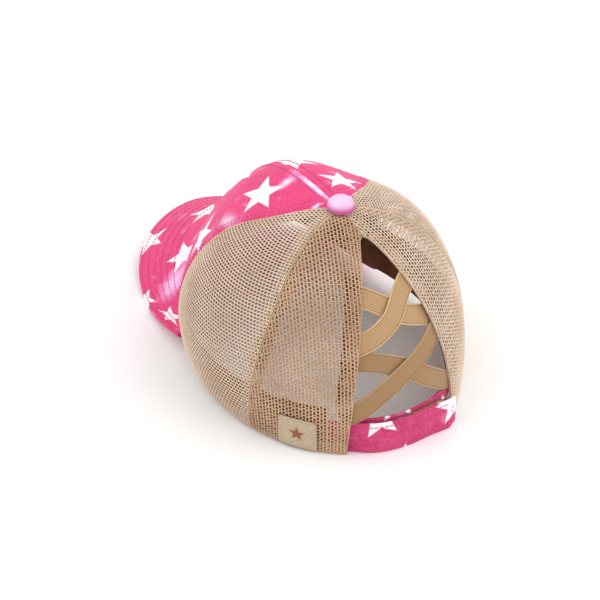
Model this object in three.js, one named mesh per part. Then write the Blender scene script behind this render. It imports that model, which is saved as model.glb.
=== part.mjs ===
// Ponytail baseball cap with a criss-cross back, in millimetres, +Z up.
// The cap stands on its rim: the visor points to -Y, the open back to +Y,
// and the wearer's left side is +X. Directions round the crown are angles
// from the middle of the back, positive towards the wearer's left.
import * as THREE from 'three';
import { mergeVertices } from 'three/addons/utils/BufferGeometryUtils.js';

const DEG = Math.PI / 180;

// Rim of the crown, seen from above: a long oval of girth about 550 mm.
const RIM = { mean: 86, lengthwise: 3, oval: 10, square: 1.5 };
const CROWN_HEIGHT = 117;
const APEX_Y = 24.5;

// Meridian of the crown at the back, the sides and the front.
// round and rise bend it, belly swells it just above the rim.
const MERIDIAN = {
  back: { round: 1.07, rise: 0.95, belly: 0.03 },
  side: { round: 1.15, rise: 1.11, belly: 0.18 },
  front: { round: 0.53, rise: 1.59, belly: -0.05 },
};

// The rim lies flat behind, climbs forward, and arches over the forehead.
const RIM_RISE = { flatHalfAngle: 26 * DEG, toFront: 17, arch: 30.5 };

// Six panels: seams at these angles on the rim, and at the middle of front and back.
// Each bow pulls its seam back on the way up: by so much, between two height angles.
const SEAM = { backSide: 58.8 * DEG, sideFront: 121 * DEG };
const BOW = {
  backSide: { by: 4.3 * DEG, from: 0, to: 90 * DEG },
  sideFront: { by: 11 * DEG, from: 52 * DEG, to: 98 * DEG },
};
const WALL = { mesh: 1.2, twill: 1.6 };
const GAP = 0.3;
const SEAM_GAP = 0.3;
const CROWN_HOLE_RADIUS = 4;

// The opening in the back, an arch from the rim up.
const OPENING = { halfAngle: 21.5 * DEG, top: 72 * DEG, roundness: 0.4 };

const VISOR = {
  length: 56, squareness: 4, drop: 30, sag: 17, sagPower: 1.7, flare: 9.5,
  thickness: 2.4, endWidth: 2.5, tuck: 1.4,
};
const SWEATBAND = { height: 30, thickness: 1.5, depth: 2.1, backAngle: 29 * DEG };
const BUTTON = { radius: 8, height: 5.2, postRadius: 1.8, discRadius: 5.5, discHeight: 1 };
const LABEL = { fromAngle: 31.6 * DEG, toAngle: 45.4 * DEG, bottom: 1.4, height: 20, thickness: 1, corner: 2.5 };

// Closing strap: two ends that overlap across the foot of the opening.
// Each row is the angle in degrees and how far the outer face stands off the rim.
const STRAP = { height: 20, thickness: 2 };
const OUTER_STRAP_ROWS = [
  { angle: 27, standOff: -3.2 }, { angle: 20, standOff: -3.0 }, { angle: 15, standOff: -1.2 },
  { angle: 10, standOff: -0.2 }, { angle: 3, standOff: 0 }, { angle: -4, standOff: 0.3 },
  { angle: -8, standOff: 1.0 }, { angle: -12, standOff: 3.0 }, { angle: -15, standOff: 5.2 },
  { angle: -17.5, standOff: 6.6 },
];
const INNER_STRAP = { height: 20.5, thickness: 1.8, bottom: 0.5 };
const INNER_STRAP_ROWS = [
  { angle: 17, standOff: -5.6 }, { angle: 12, standOff: -4.6 }, { angle: 6, standOff: -4.0 },
  { angle: 0, standOff: -3.8 }, { angle: -6, standOff: -3.6 }, { angle: -10, standOff: -3.1 },
  { angle: -16, standOff: -2.8 }, { angle: -21, standOff: -3.3 }, { angle: -27, standOff: -3.5 },
];
const FASTENER = { fromAngle: 5, toAngle: -16, bottom: 1.5, top: 19.4, mostThick: 2.2 };

// Elastic bands across the opening, from the hem of one side to the other.
// Each row is an angle, a height angle on the crown and a depth below its face.
const BAND = { width: 11.5, thickness: 1.2 };
const BAND_ROWS = {
  elastic_upper_inner: [
    { angle: 17.5, height: 51.5, depth: 1.7 }, { angle: 13, height: 50.2, depth: 1.9 },
    { angle: 5.4, height: 47.0, depth: 3.4 }, { angle: -3, height: 42.0, depth: 3.9 },
    { angle: -12, height: 38.4, depth: 3.6 }, { angle: -17, height: 36.6, depth: 3.3 },
    { angle: -20.5, height: 35.6, depth: 3.1 },
  ],
  elastic_upper_outer: [
    { angle: -17.5, height: 51.8, depth: 1.7 }, { angle: -11, height: 49.8, depth: 1.8 },
    { angle: -5.4, height: 46.5, depth: 2.1 }, { angle: 1.2, height: 41.0, depth: 2.1 },
    { angle: 9, height: 37.1, depth: 1.8 }, { angle: 16, height: 34.8, depth: 1.7 },
    { angle: 20.5, height: 34.0, depth: 1.7 },
  ],
  elastic_lower_inner: [
    { angle: 21.5, height: 29.8, depth: 3.1 }, { angle: 17, height: 29.4, depth: 3.2 },
    { angle: 8, height: 27.4, depth: 3.8 }, { angle: -1.5, height: 23.5, depth: 3.9 },
    { angle: -11, height: 17.3, depth: 2.8 }, { angle: -18, height: 13.2, depth: 1.8 },
    { angle: -24, height: 11.2, depth: 1.7 },
  ],
  elastic_lower_outer: [
    { angle: -21.5, height: 32.0, depth: 1.7 }, { angle: -15.5, height: 29.8, depth: 1.8 },
    { angle: -8.8, height: 26.5, depth: 2.1 }, { angle: 1, height: 22.4, depth: 2.2 },
    { angle: 9.3, height: 18.3, depth: 2.0 }, { angle: 17, height: 13.8, depth: 1.8 },
    { angle: 23.5, height: 11.4, depth: 1.7 },
  ],
};

// Colours of the photographed cloth and trimmings.
const COLOUR = { print: 0xe0558f, mesh: 0xcdb495, elastic: 0xc8a578, tape: 0xc8814f, button: 0xe78fd0, label: 0xcdbea0 };

// A value mixed from its back, side and front ones by the direction.
function byDirection(angle, key) {
  const c = Math.cos(angle);
  const back = Math.max(c, 0) ** 2;
  const front = Math.max(-c, 0) ** 2;
  return MERIDIAN.back[key] * back + MERIDIAN.side[key] * (1 - c * c) + MERIDIAN.front[key] * front;
}

function rimPoint(angle) {
  const radius = RIM.mean + RIM.lengthwise * Math.cos(angle)
    + RIM.oval * Math.cos(2 * angle) + RIM.square * Math.cos(4 * angle);
  return new THREE.Vector3(radius * Math.sin(angle), radius * Math.cos(angle), 0);
}

// 0 behind the visor's ends, 1 at the middle of the forehead.
function frontShare(angle) {
  return Math.max(0, (Math.abs(angle) - SEAM.sideFront) / (Math.PI - SEAM.sideFront));
}

function rimHeight(angle) {
  const past = Math.max(0, Math.abs(angle) - RIM_RISE.flatHalfAngle);
  const turn = past * Math.PI / (Math.PI - RIM_RISE.flatHalfAngle);
  const arch = RIM_RISE.arch * Math.sin(frontShare(angle) * Math.PI / 2) ** 2;
  return RIM_RISE.toFront * (1 - Math.cos(turn)) / 2 + arch;
}

// How far from the crown's axis a height angle lies: 1 at the rim, 0 at the apex.
function reach(angle, height) {
  return Math.cos(height) ** byDirection(angle, 'round') + byDirection(angle, 'belly') * Math.sin(2 * height);
}

function crownPoint(angle, height) {
  const rim = rimPoint(angle);
  const share = reach(angle, height);
  const foot = rimHeight(angle);
  const lift = Math.sin(height) ** byDirection(angle, 'rise');
  return new THREE.Vector3(
    rim.x * share,
    APEX_Y + (rim.y - APEX_Y) * share,
    foot + (CROWN_HEIGHT - foot) * lift,
  );
}

// The outward normal. Near the rim it turns level, so every layer keeps the rim's height.
function crownNormal(angle, height) {
  const step = 2 * DEG;
  const low = Math.max(height - step, 0);
  const high = Math.min(low + 2 * step, Math.PI / 2);
  const across = crownPoint(angle + step, height).sub(crownPoint(angle - step, height));
  const along = crownPoint(angle, high).sub(crownPoint(angle, low));
  const normal = across.cross(along).normalize();
  if (normal.dot(rimPoint(angle)) < 0 && height < 80 * DEG) normal.negate();
  if (normal.z < 0 && height >= 80 * DEG) normal.negate();
  normal.z *= THREE.MathUtils.smoothstep(height, 0, 6 * DEG);
  return normal.normalize();
}

// A point of the crown moved outwards, or inwards by a negative offset.
function onCrown(angle, height, offset) {
  return crownPoint(angle, height).addScaledVector(crownNormal(angle, height), offset);
}

// The height angle where the crown comes in to a radius round its axis.
function heightAtRadius(angle, radius) {
  const rim = rimPoint(angle);
  const full = Math.hypot(rim.x, rim.y - APEX_Y);
  let low = 45 * DEG;
  let high = 90 * DEG;
  for (let i = 0; i < 40; i += 1) {
    const middle = (low + high) / 2;
    if (reach(angle, middle) * full > radius) low = middle;
    else high = middle;
  }
  return low;
}

// Height angles spaced evenly along the meridian, from the rim to the hole under the button.
function evenHeights(angle, rows, from = 0) {
  const top = heightAtRadius(angle, CROWN_HOLE_RADIUS);
  const samples = 240;
  const lengths = [0];
  const at = (k) => from + (top - from) * (1 - (1 - k / samples) ** 2);
  for (let k = 1; k <= samples; k += 1) {
    lengths.push(lengths[k - 1] + crownPoint(angle, at(k)).distanceTo(crownPoint(angle, at(k - 1))));
  }
  return Array.from({ length: rows + 1 }, (_, j) => {
    const wanted = lengths[samples] * j / rows;
    const k = Math.max(1, lengths.findIndex((length) => length >= wanted - 1e-9));
    const share = (wanted - lengths[k - 1]) / (lengths[k] - lengths[k - 1]);
    return at(k - 1 + share);
  });
}

// A closed wall between two faces, each a grid of points: face[column][row].
function wall(outer, inner) {
  const columns = outer.length;
  const rows = outer[0].length;
  const positions = [];
  const quads = [];
  const outerIndex = (i, j) => i * rows + j;
  const innerIndex = (i, j) => columns * rows + i * rows + j;
  for (const face of [outer, inner]) {
    for (const column of face) column.forEach((point) => positions.push(point.x, point.y, point.z));
  }
  for (let i = 0; i + 1 < columns; i += 1) {
    for (let j = 0; j + 1 < rows; j += 1) {
      quads.push([outerIndex(i, j), outerIndex(i + 1, j), outerIndex(i + 1, j + 1), outerIndex(i, j + 1)]);
      quads.push([innerIndex(i, j), innerIndex(i, j + 1), innerIndex(i + 1, j + 1), innerIndex(i + 1, j)]);
    }
    quads.push([outerIndex(i, 0), innerIndex(i, 0), innerIndex(i + 1, 0), outerIndex(i + 1, 0)]);
    quads.push([
      outerIndex(i, rows - 1), outerIndex(i + 1, rows - 1), innerIndex(i + 1, rows - 1), innerIndex(i, rows - 1),
    ]);
  }
  for (let j = 0; j + 1 < rows; j += 1) {
    quads.push([outerIndex(0, j), outerIndex(0, j + 1), innerIndex(0, j + 1), innerIndex(0, j)]);
    quads.push([
      outerIndex(columns - 1, j), innerIndex(columns - 1, j),
      innerIndex(columns - 1, j + 1), outerIndex(columns - 1, j + 1),
    ]);
  }
  return facedOut(solid(positions, quads));
}

function solid(positions, quads) {
  const geometry = new THREE.BufferGeometry();
  geometry.setAttribute('position', new THREE.Float32BufferAttribute(positions, 3));
  geometry.setIndex(quads.flatMap(([a, b, c, d]) => [a, b, c, a, c, d]));
  return geometry;
}

function signedVolume(geometry) {
  const position = geometry.getAttribute('position');
  const index = geometry.getIndex();
  const corner = (k) => new THREE.Vector3().fromBufferAttribute(position, index.getX(k));
  let volume = 0;
  for (let k = 0; k < index.count; k += 3) volume += corner(k).dot(corner(k + 1).cross(corner(k + 2))) / 6;
  return volume;
}

function turnedOver(geometry) {
  const index = geometry.getIndex();
  for (let k = 0; k < index.count; k += 3) {
    const first = index.getX(k);
    index.setX(k, index.getX(k + 1));
    index.setX(k + 1, first);
  }
  return geometry;
}

function facedOut(geometry) {
  return signedVolume(geometry) < 0 ? turnedOver(geometry) : geometry;
}

function mirrored(geometry) {
  return turnedOver(geometry.clone().scale(-1, 1, 1));
}

// One panel: at(column, row) gives an angle and a height angle on the crown.
function panel(columns, rows, at, thickness) {
  const face = (offset) => Array.from({ length: columns + 1 }, (_, i) => (
    Array.from({ length: rows + 1 }, (__, j) => {
      const spot = at(i / columns, j);
      return onCrown(spot.angle, spot.height, offset);
    })));
  return wall(face(0), face(-thickness));
}

// Half a seam's gap as an angle, wider near the apex, where the panels narrow.
function seamAngle(angle, height) {
  const rim = rimPoint(angle);
  return SEAM_GAP / 2 / (reach(angle, height) * Math.hypot(rim.x, rim.y - APEX_Y));
}

function bowedSeam(name, height) {
  const bow = BOW[name];
  const climb = THREE.MathUtils.clamp((height - bow.from) / (bow.to - bow.from), 0, 1);
  return SEAM[name] - bow.by * Math.sin(climb * Math.PI) ** 2;
}

const backSideSeam = (height) => bowedSeam('backSide', height);
const sideFrontSeam = (height) => bowedSeam('sideFront', height);

// A panel between two seams, each given as a function of the height angle.
function panelBetween(lowSeam, highSeam, columns, rows, thickness) {
  const heights = Array.from({ length: columns + 1 }, (_, i) => (
    evenHeights(THREE.MathUtils.lerp(lowSeam(0), highSeam(0), i / columns), rows)));
  return panel(columns, rows, (share, j) => {
    const height = heights[Math.round(share * columns)][j];
    const low = lowSeam(height);
    const high = highSeam(height);
    const start = low + seamAngle(low, height);
    const end = high - seamAngle(high, height);
    return { angle: THREE.MathUtils.lerp(start, end, share), height };
  }, thickness);
}

// The angle of the opening's edge at a height angle; 0 above the opening.
function openingAngle(height) {
  return OPENING.halfAngle * Math.max(0, 1 - height / OPENING.top) ** OPENING.roundness;
}

function backPanel() {
  const edgeRows = 13;
  const topRows = 3;
  const heights = [];
  for (let j = 0; j <= edgeRows; j += 1) heights.push(OPENING.top * (1 - (1 - j / edgeRows) ** 1.5));
  const above = evenHeights(SEAM.backSide / 2, topRows, OPENING.top);
  heights.push(...above.slice(1));
  return panel(10, heights.length - 1, (share, j) => {
    const height = heights[j];
    const start = Math.max(openingAngle(height), seamAngle(0, height));
    const seam = backSideSeam(height);
    const end = seam - seamAngle(seam, height);
    return { angle: THREE.MathUtils.lerp(start, end, share), height };
  }, WALL.mesh);
}

// The visor's top face: across from -1 to 1 along its width, out from 0 at the rim to 1 at its edge.
function visorTop(across, out) {
  const angle = Math.PI - across * (Math.PI - SEAM.sideFront);
  const inner = rimPoint(angle);
  const level = inner.clone().setLength(inner.length() - VISOR.tuck);
  level.z = rimHeight(Math.min(angle, 2 * Math.PI - angle)) - GAP;
  const fullness = 1 - Math.abs(across) ** VISOR.squareness;
  const widest = rimPoint(SEAM.sideFront).x;
  const edge = new THREE.Vector3(
    inner.x + VISOR.flare * across * Math.sqrt(fullness),
    inner.y - VISOR.length * fullness - VISOR.endWidth,
    0,
  );
  const middle = RIM_RISE.toFront + RIM_RISE.arch - VISOR.drop;
  const sagged = middle - VISOR.sag * (Math.abs(edge.x) / widest) ** VISOR.sagPower;
  edge.z = THREE.MathUtils.lerp(level.z, sagged, Math.min(1, fullness * 1.6));
  return level.lerp(edge, out);
}

function visorNormal(across, out) {
  const step = 0.02;
  const left = Math.max(across - step, -1);
  const right = Math.min(across + step, 1);
  const sideways = visorTop(right, out).sub(visorTop(left, out));
  const forward = visorTop(across, 1).sub(visorTop(across, 0));
  const normal = sideways.cross(forward).normalize();
  return normal.z < 0 ? normal.negate() : normal;
}

function visor() {
  const columns = 28;
  const rows = 6;
  const spots = Array.from({ length: columns + 1 }, (_, i) => Math.sin((i / columns - 0.5) * Math.PI));
  const top = spots.map((across) => Array.from({ length: rows + 1 }, (_, j) => visorTop(across, j / rows)));
  const bottom = spots.map((across) => Array.from({ length: rows + 1 }, (_, j) => {
    const point = visorTop(across, j / rows).addScaledVector(visorNormal(across, j / rows), -VISOR.thickness);
    point.z = Math.max(point.z, 0);
    return point;
  }));
  return wall(top, bottom);
}

// A tape inside the crown's foot, round the front from one side of the opening to the other.
function sweatband() {
  const columns = 60;
  const span = 2 * (Math.PI - SWEATBAND.backAngle);
  const face = (depth) => Array.from({ length: columns + 1 }, (_, i) => {
    const turn = SWEATBAND.backAngle + span * i / columns;
    const angle = turn > Math.PI ? turn - 2 * Math.PI : turn;
    return [0, 0.5, 1].map((share) => {
      const height = heightAbove(angle, SWEATBAND.height * share);
      return onCrown(angle, height, -depth);
    });
  });
  return wall(face(SWEATBAND.depth), face(SWEATBAND.depth + SWEATBAND.thickness));
}

// The height angle at a rise above the rim.
function heightAbove(angle, rise) {
  const share = rise / (CROWN_HEIGHT - rimHeight(angle));
  return Math.asin(share ** (1 / byDirection(angle, 'rise')));
}

// A smooth curve through a table's column.
function column(rows, key) {
  const curve = new THREE.CatmullRomCurve3(
    rows.map((row, i) => new THREE.Vector3(i, row[key], 0)), false, 'catmullrom', 0.5,
  );
  return (share) => curve.getPoint(share).y;
}

// A strap stands on the rim: its plan follows the rim, moved out by the table's stand-off.
function strap(rows, outerStand, innerStand, bottom, top, steps, from = 0, to = 1) {
  const angles = column(rows, 'angle');
  const face = (stand) => Array.from({ length: steps + 1 }, (_, i) => {
    const share = from + (to - from) * i / steps;
    const angle = angles(share) * DEG;
    const rim = rimPoint(angle);
    const plan = rim.clone().setLength(rim.length() + stand(share));
    return [0, 0.5, 1].map((rise) => plan.clone().setZ(bottom + (top - bottom) * rise));
  });
  return wall(face(outerStand), face(innerStand));
}

function outerStrap() {
  const stand = column(OUTER_STRAP_ROWS, 'standOff');
  return strap(OUTER_STRAP_ROWS, stand, (share) => stand(share) - STRAP.thickness, 0, STRAP.height, 22);
}

function innerStrap() {
  const stand = column(INNER_STRAP_ROWS, 'standOff');
  return strap(
    INNER_STRAP_ROWS, stand, (share) => stand(share) - INNER_STRAP.thickness,
    INNER_STRAP.bottom, INNER_STRAP.bottom + INNER_STRAP.height, 20,
  );
}

// A stand-off read by its angle, where the table runs from its first to its last angle.
function standAt(rows, angle) {
  const stand = column(rows, 'standOff');
  const angles = column(rows, 'angle');
  let best = 0;
  for (let k = 0; k <= 400; k += 1) {
    if (Math.abs(angles(k / 400) - angle) < Math.abs(angles(best) - angle)) best = k / 400;
  }
  return stand(best);
}

// The hook-and-loop strip fills the space between the two ends of the strap.
function fastener() {
  const steps = 10;
  const rows = Array.from({ length: steps + 1 }, (_, i) => {
    const angle = THREE.MathUtils.lerp(FASTENER.fromAngle, FASTENER.toAngle, i / steps);
    const outer = standAt(OUTER_STRAP_ROWS, angle) - STRAP.thickness - GAP;
    const inner = Math.max(standAt(INNER_STRAP_ROWS, angle) + GAP, outer - FASTENER.mostThick);
    return { angle, outer, inner };
  });
  return strap(rows, column(rows, 'outer'), column(rows, 'inner'), FASTENER.bottom, FASTENER.top, steps);
}

// A flat elastic laid along its table's curve, its width across the curve.
function elastic(rows) {
  const steps = 18;
  const angles = column(rows, 'angle');
  const heights = column(rows, 'height');
  const depths = column(rows, 'depth');
  const middle = (share) => onCrown(angles(share) * DEG, heights(share) * DEG, -depths(share));
  const face = (lower) => Array.from({ length: steps + 1 }, (_, i) => {
    const share = i / steps;
    const along = middle(Math.min(1, share + 0.01)).sub(middle(Math.max(0, share - 0.01))).normalize();
    const normal = crownNormal(angles(share) * DEG, heights(share) * DEG);
    const across = normal.clone().cross(along).normalize();
    return [-0.5, 0, 0.5].map((side) => middle(share)
      .addScaledVector(across, side * BAND.width).addScaledVector(normal, -lower));
  });
  return wall(face(0), face(BAND.thickness));
}

// A small cloth label on the outside, its corners cut round.
function label() {
  const columns = 8;
  const rows = 6;
  const width = LABEL.toAngle - LABEL.fromAngle;
  const cornerAngle = LABEL.corner / rimPoint(LABEL.fromAngle).length();
  const face = (offset) => Array.from({ length: columns + 1 }, (_, i) => {
    const angle = LABEL.fromAngle + width * (1 - Math.cos(Math.PI * i / columns)) / 2;
    const toEnd = Math.min(angle - LABEL.fromAngle, LABEL.toAngle - angle);
    const cut = Math.max(0, 1 - toEnd / cornerAngle);
    const trim = LABEL.corner * (1 - Math.sqrt(1 - cut * cut));
    return Array.from({ length: rows + 1 }, (__, j) => {
      const rise = LABEL.bottom + trim * 0.4 + (LABEL.height - trim * 1.4) * j / rows;
      return onCrown(angle, heightAbove(angle, rise), offset);
    });
  });
  return wall(face(GAP + LABEL.thickness), face(GAP));
}

// A covered button: a dome over the apex, on a post through the hole to a disc inside.
function topButton() {
  const seat = GAP;
  const disc = -WALL.twill - GAP;
  const profile = [
    [0, disc - BUTTON.discHeight],
    [BUTTON.discRadius, disc - BUTTON.discHeight],
    [BUTTON.discRadius, disc],
    [BUTTON.postRadius, disc],
    [BUTTON.postRadius, seat],
    [BUTTON.radius - 0.6, seat],
    [BUTTON.radius, seat + 1],
  ];
  for (let k = 1; k <= 6; k += 1) {
    const turn = k / 6 * Math.PI / 2;
    profile.push([BUTTON.radius * Math.cos(turn), seat + 1 + (BUTTON.height - 1) * Math.sin(turn)]);
  }
  profile[profile.length - 1][0] = 0;
  const turned = new THREE.LatheGeometry(profile.map(([r, z]) => new THREE.Vector2(r, z)), 28);
  turned.rotateX(Math.PI / 2);
  turned.deleteAttribute('normal');
  turned.deleteAttribute('uv');
  return facedOut(withoutSlivers(mergeVertices(turned, 1e-4)));
}

// The lathe's triangles that shrank to a line on the axis are dropped.
function withoutSlivers(geometry) {
  const index = geometry.getIndex();
  const kept = [];
  for (let k = 0; k < index.count; k += 3) {
    const [a, b, c] = [index.getX(k), index.getX(k + 1), index.getX(k + 2)];
    if (a !== b && b !== c && c !== a) kept.push(a, b, c);
  }
  geometry.setIndex(kept);
  return geometry;
}

function mesh(name, geometry, colour, roughness) {
  const material = new THREE.MeshStandardMaterial({ color: colour, roughness, metalness: 0 });
  const made = new THREE.Mesh(geometry, material);
  made.name = name;
  return made;
}

const frontLeft = panelBetween(sideFrontSeam, () => Math.PI, 12, 13, WALL.twill);
const sideLeft = panelBetween(backSideSeam, sideFrontSeam, 11, 13, WALL.mesh);
const backLeft = backPanel();

const crown = new THREE.Group();
crown.add(
  mesh('front_panel_left', frontLeft, COLOUR.print, 0.85),
  mesh('front_panel_right', mirrored(frontLeft), COLOUR.print, 0.85),
  mesh('side_mesh_left', sideLeft, COLOUR.mesh, 0.9),
  mesh('side_mesh_right', mirrored(sideLeft), COLOUR.mesh, 0.9),
  mesh('back_mesh_left', backLeft, COLOUR.mesh, 0.9),
  mesh('back_mesh_right', mirrored(backLeft), COLOUR.mesh, 0.9),
  mesh('sweatband', sweatband(), COLOUR.tape, 0.9),
  mesh('label_patch', label(), COLOUR.label, 0.9),
);

const button = mesh('top_button', topButton(), COLOUR.button, 0.6);
button.position.set(0, APEX_Y, CROWN_HEIGHT);

const closure = new THREE.Group();
closure.add(
  mesh('back_strap_outer', outerStrap(), COLOUR.print, 0.85),
  mesh('back_strap_inner', innerStrap(), COLOUR.print, 0.85),
  mesh('strap_fastener', fastener(), COLOUR.tape, 0.95),
);
for (const [name, rows] of Object.entries(BAND_ROWS)) {
  closure.add(mesh(name, elastic(rows), COLOUR.elastic, 0.85));
}

const cap = new THREE.Group();
cap.add(crown, button, closure, mesh('visor', visor(), COLOUR.print, 0.85));

// The origin is under the middle of the whole cap.
cap.updateMatrixWorld(true);
const middle = new THREE.Box3().setFromObject(cap).getCenter(new THREE.Vector3());
cap.position.set(0, -middle.y, 0);

export default cap;
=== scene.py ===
import math

import bmesh
import bpy
import numpy as np
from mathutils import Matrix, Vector

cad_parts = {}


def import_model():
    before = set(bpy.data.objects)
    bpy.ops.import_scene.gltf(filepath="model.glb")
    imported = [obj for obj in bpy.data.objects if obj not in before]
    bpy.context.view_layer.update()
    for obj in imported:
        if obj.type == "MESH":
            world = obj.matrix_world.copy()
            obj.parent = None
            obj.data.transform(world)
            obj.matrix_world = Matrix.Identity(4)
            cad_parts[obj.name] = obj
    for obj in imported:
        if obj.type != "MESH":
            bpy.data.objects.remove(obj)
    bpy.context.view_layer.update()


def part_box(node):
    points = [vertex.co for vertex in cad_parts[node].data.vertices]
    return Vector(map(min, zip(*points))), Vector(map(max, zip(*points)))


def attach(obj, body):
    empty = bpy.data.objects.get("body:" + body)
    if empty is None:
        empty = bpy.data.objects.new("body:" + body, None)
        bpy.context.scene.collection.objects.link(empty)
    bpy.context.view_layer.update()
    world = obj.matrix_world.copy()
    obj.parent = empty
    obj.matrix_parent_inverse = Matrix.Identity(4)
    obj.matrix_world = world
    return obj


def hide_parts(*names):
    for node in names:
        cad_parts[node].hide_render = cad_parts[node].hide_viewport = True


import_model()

MM = 0.001
DEG = math.pi / 180

# Rim and meridian of the crown, the same named sizes as the part's source. A meridian's
# powers are given for the back, the side and the front.
RIM_MEAN, RIM_LENGTHWISE, RIM_OVAL, RIM_SQUARE = 86, 3, 10, 1.5
CROWN_HEIGHT = 117
APEX_Y = 24.5
MERIDIAN = {
    "round": (1.07, 1.15, 0.53),
    "rise": (0.95, 1.11, 1.59),
    "belly": (0.03, 0.18, -0.05),
}
FLAT_HALF_ANGLE = 26 * DEG
RISE_TO_FRONT, RISE_ARCH = 17, 30.5
SEAM_BACK_SIDE = 58.8 * DEG
SEAM_SIDE_FRONT = 121 * DEG
BACK_SIDE_BOW = {"by": 4.3 * DEG, "low": 0.0, "high": 90 * DEG}
SIDE_FRONT_BOW = {"by": 11 * DEG, "low": 52 * DEG, "high": 98 * DEG}
HALF_SEAM = 0.1 * DEG
OPENING_HALF_ANGLE, OPENING_TOP, OPENING_ROUNDNESS = 21.5 * DEG, 72 * DEG, 0.4
HOLE_RADIUS = 4

VISOR_LENGTH, VISOR_SQUARENESS, VISOR_DROP = 56, 4, 30
VISOR_SAG, VISOR_SAG_POWER, VISOR_FLARE = 17, 1.7, 9.5
VISOR_THICKNESS, VISOR_END_WIDTH, VISOR_TUCK = 2.4, 2.5, 1.4

# The button stands on the crown's apex, which places the crown in the row frame.
BUTTON_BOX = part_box("top_button")
CROWN_CENTRE_Y = (BUTTON_BOX[0].y + BUTTON_BOX[1].y) / 2 / MM - APEX_Y

rng = np.random.default_rng(7)


# The crown as functions of an angle round it and a height angle up it

def by_direction(angle, key):
    back, side, front = MERIDIAN[key]
    c = np.cos(angle)
    return back * np.maximum(c, 0) ** 2 + side * (1 - c * c) + front * np.maximum(-c, 0) ** 2


def rim_plan(angle):
    radius = (
        RIM_MEAN
        + RIM_LENGTHWISE * np.cos(angle)
        + RIM_OVAL * np.cos(2 * angle)
        + RIM_SQUARE * np.cos(4 * angle)
    )
    return radius * np.sin(angle), radius * np.cos(angle)


def folded_angle(angle):
    return np.abs((angle + math.pi) % (2 * math.pi) - math.pi)


def rim_height(angle):
    turn = folded_angle(angle)
    past = np.maximum(0, turn - FLAT_HALF_ANGLE) * math.pi / (math.pi - FLAT_HALF_ANGLE)
    front = np.maximum(0, (turn - SEAM_SIDE_FRONT) / (math.pi - SEAM_SIDE_FRONT))
    return RISE_TO_FRONT * (1 - np.cos(past)) / 2 + RISE_ARCH * np.sin(front * math.pi / 2) ** 2


def reach(angle, height):
    belly = by_direction(angle, "belly") * np.sin(2 * height)
    return np.cos(height) ** by_direction(angle, "round") + belly


def crown_point(angle, height):
    height = np.clip(height, 0, math.pi / 2)
    x, y = rim_plan(angle)
    share = reach(angle, height)
    foot = rim_height(angle)
    z = foot + (CROWN_HEIGHT - foot) * np.sin(height) ** by_direction(angle, "rise")
    return np.stack(np.broadcast_arrays(x * share, APEX_Y + (y - APEX_Y) * share, z), -1)


def height_above_rim(angle, rise):
    """The height angle at which the crown stands a given rise above its rim."""
    lift = rise / (CROWN_HEIGHT - rim_height(angle))
    return np.arcsin(lift ** (1 / by_direction(angle, "rise")))


def smooth(value, low, high):
    t = np.clip((value - low) / (high - low), 0, 1)
    return t * t * (3 - 2 * t)


def unit(vectors):
    return vectors / np.maximum(np.linalg.norm(vectors, axis=-1, keepdims=True), 1e-12)


def ridge(distance, width):
    """1 at no distance, dying away smoothly over about twice the width."""
    return np.exp(-((distance / width) ** 2))


def travelled(points):
    """The distance covered up to each point, along the first axis of a path or a grid."""
    steps = np.linalg.norm(np.diff(points, axis=0), axis=-1)
    return np.concatenate([np.zeros((1, *steps.shape[1:])), np.cumsum(steps, axis=0)])


def crown_normal(angle, height):
    step = 2 * DEG
    low = np.clip(height - step, 0, math.pi / 2 - 2 * step)
    across = crown_point(angle + step, height) - crown_point(angle - step, height)
    along = crown_point(angle, low + 2 * step) - crown_point(angle, low)
    normal = unit(np.cross(along, across))
    normal[..., 2] *= smooth(height, 0, 6 * DEG)
    return unit(normal)


def on_crown(angle, height, offset):
    angle, height, offset = np.broadcast_arrays(angle, height, offset)
    return crown_point(angle, height) + crown_normal(angle, height) * offset[..., None]


# Distances along the rim, and along a meridian, as tables to look up both ways
RIM_ANGLES = np.linspace(-math.pi, math.pi, 1441)
RIM_LENGTHS = travelled(np.stack(rim_plan(RIM_ANGLES), -1))


def rim_length(angle):
    return np.interp(angle, RIM_ANGLES, RIM_LENGTHS)


def rim_angle(length):
    return np.interp(length, RIM_LENGTHS, RIM_ANGLES)


def meridian_table(angle):
    """Heights up one meridian to the hole at the apex, and the cloth's length to each."""
    heights = (1 - np.linspace(1, 0, 400) ** 2) * height_at_radius(angle, HOLE_RADIUS)
    return heights, travelled(crown_point(angle, heights))


def height_at_radius(angle, radius):
    x, y = rim_plan(angle)
    full = math.hypot(x, y - APEX_Y)
    heights = np.linspace(45 * DEG, 90 * DEG, 4000)
    return heights[np.argmax(reach(angle, heights) * full <= radius)]


def bowed(seam, bow, height):
    climb = np.clip((height - bow["low"]) / (bow["high"] - bow["low"]), 0, 1)
    return seam - bow["by"] * np.sin(climb * math.pi) ** 2


def back_side_seam(height):
    return bowed(SEAM_BACK_SIDE, BACK_SIDE_BOW, height)


def side_front_seam(height):
    return bowed(SEAM_SIDE_FRONT, SIDE_FRONT_BOW, height)


def opening_angle(height):
    return OPENING_HALF_ANGLE * np.maximum(0, 1 - height / OPENING_TOP) ** OPENING_ROUNDNESS


# Meshes

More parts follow.
